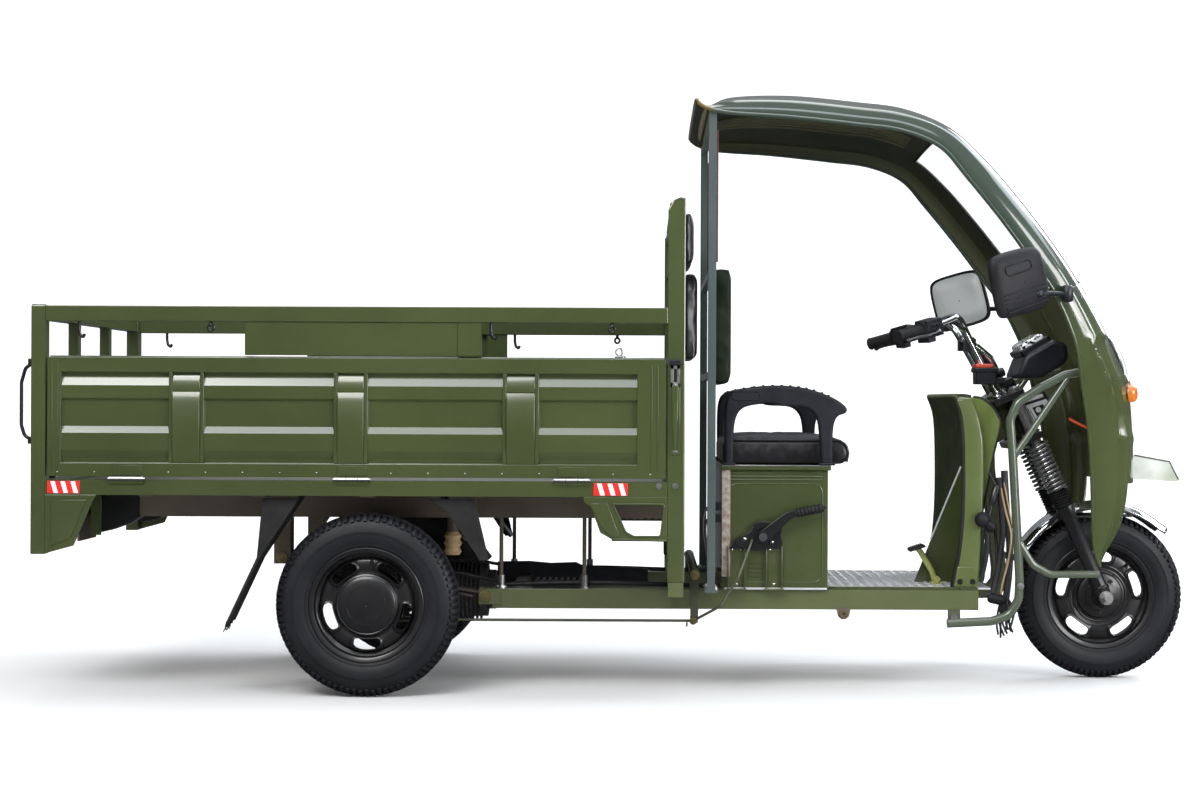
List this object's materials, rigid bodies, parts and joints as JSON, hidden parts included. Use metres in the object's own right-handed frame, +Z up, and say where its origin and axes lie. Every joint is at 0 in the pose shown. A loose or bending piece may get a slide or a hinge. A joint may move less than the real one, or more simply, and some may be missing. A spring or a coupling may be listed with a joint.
{
  "type": "electric cargo tricycle",
  "caption": "Open-cab electric cargo tricycle with a drop-side load bed, roof canopy, sprung fork steering and wheels that turn.",
  "frame": {"origin": "on the ground, at the middle of the overall length and width", "axes": "+X forward, +Y to the vehicle's left, +Z up"},
  "size_m": [3.408, 1.2104, 1.744],
  "materials": {
    "olive_paint": "satin olive green enamel",
    "bed_floor_paint": "olive enamel, scuffed",
    "under_paint": "brown primer, dusty",
    "black_steel": "semi-gloss black",
    "motor_alloy": "rough casting",
    "black_rubber": "matt",
    "tyre_rubber": "matt tread",
    "black_vinyl": "grained vinyl",
    "black_plastic": "moulded, fine grain",
    "bright_steel": "polished",
    "checker_plate": "bright checker plate",
    "zinc_steel": "yellow zinc",
    "pedal_paint": "yellow-green enamel",
    "clear_plastic": "clear",
    "white_plastic": "semi-clear white",
    "amber_lens": "amber lens",
    "red_lens": "red lens"
  },
  "bodies": {
    "chassis": {"chassis_rails": "olive_paint", "bed_subframe": "under_paint", "bed_crossmembers": "under_paint", "bed_floor": "bed_floor_paint", "bed_sills": "olive_paint", "bed_posts": "olive_paint", "guard_rails": "olive_paint", "headboard": "olive_paint", "headboard_cushions": "black_vinyl", "rear_bumper": "olive_paint", "tail_lights": "red_lens", "side_brackets": "olive_paint", "leaf_springs": "black_steel", "rear_axle": "black_steel", "drive_motor": "motor_alloy", "mud_flaps": "black_rubber", "bed_latches": "bright_steel", "seat_box": "olive_paint", "seat_lid": "olive_paint", "battery_pack": "black_plastic", "seat_cushion": "black_vinyl", "armrests": "black_plastic", "hand_brake": "black_steel", "brake_linkage": "zinc_steel", "footboard": "checker_plate", "leg_shield": "olive_paint", "brake_pedal": "pedal_paint", "cab_posts": "olive_paint", "back_pad": "black_vinyl", "roof_canopy": "olive_paint", "windscreen": "clear_plastic", "front_cowl": "olive_paint", "plate_bracket": "white_plastic", "headlight": "clear_plastic", "turn_signals": "amber_lens", "mirrors": "black_plastic", "guard_tubes": "olive_paint", "head_tube": "olive_paint"},
    "steering": {"fork_clamps": "black_steel", "fork_legs": "black_steel", "fork_springs": "bright_steel", "handlebar": "bright_steel", "hand_grips": "black_rubber", "instrument_pod": "black_plastic", "horn": "bright_steel", "front_mudguard": "bright_steel", "front_axle": "bright_steel"},
    "front_wheel": {"front_tyre": "tyre_rubber", "front_rim": "black_steel"},
    "rear_wheel_left": {"rear_tyre_left": "tyre_rubber", "rear_rim_left": "black_steel"},
    "rear_wheel_right": {"rear_tyre_right": "tyre_rubber", "rear_rim_right": "black_steel"},
    "drop_side_left": {"side_panel_left": "olive_paint"},
    "drop_side_right": {"side_panel_right": "olive_paint"},
    "tailgate": {"tailgate": "olive_paint"}
  },
  "joints": [
    {"name": "steering_turn", "type": "hinge", "parent": "chassis", "child": "steering", "pos_m": [1.16685, 0, 0.78182], "axis": [-0.4067, 0, 0.9135], "range_deg": [-40, 40]},
    {"name": "front_wheel_spin", "type": "hinge", "parent": "steering", "child": "front_wheel", "pos_m": [1.452, 0, 0.252], "axis": [0, 1, 0], "continuous": true},
    {"name": "rear_wheel_left_spin", "type": "hinge", "parent": "chassis", "child": "rear_wheel_left", "pos_m": [-0.726, 0.475, 0.26], "axis": [0, 1, 0], "continuous": true},
    {"name": "rear_wheel_right_spin", "type": "hinge", "parent": "chassis", "child": "rear_wheel_right", "pos_m": [-0.726, -0.475, 0.26], "axis": [0, 1, 0], "continuous": true},
    {"name": "drop_side_left_hinge", "type": "hinge", "parent": "chassis", "child": "drop_side_left", "pos_m": [-0.76, 0.556, 0.616], "axis": [-1, 0, 0], "range_deg": [0, 176]},
    {"name": "drop_side_right_hinge", "type": "hinge", "parent": "chassis", "child": "drop_side_right", "pos_m": [-0.76, -0.556, 0.616], "axis": [1, 0, 0], "range_deg": [0, 176]},
    {"name": "tailgate_hinge", "type": "hinge", "parent": "chassis", "child": "tailgate", "pos_m": [-1.666, 0, 0.616], "axis": [0, -1, 0], "range_deg": [0, 176]}
  ]
}
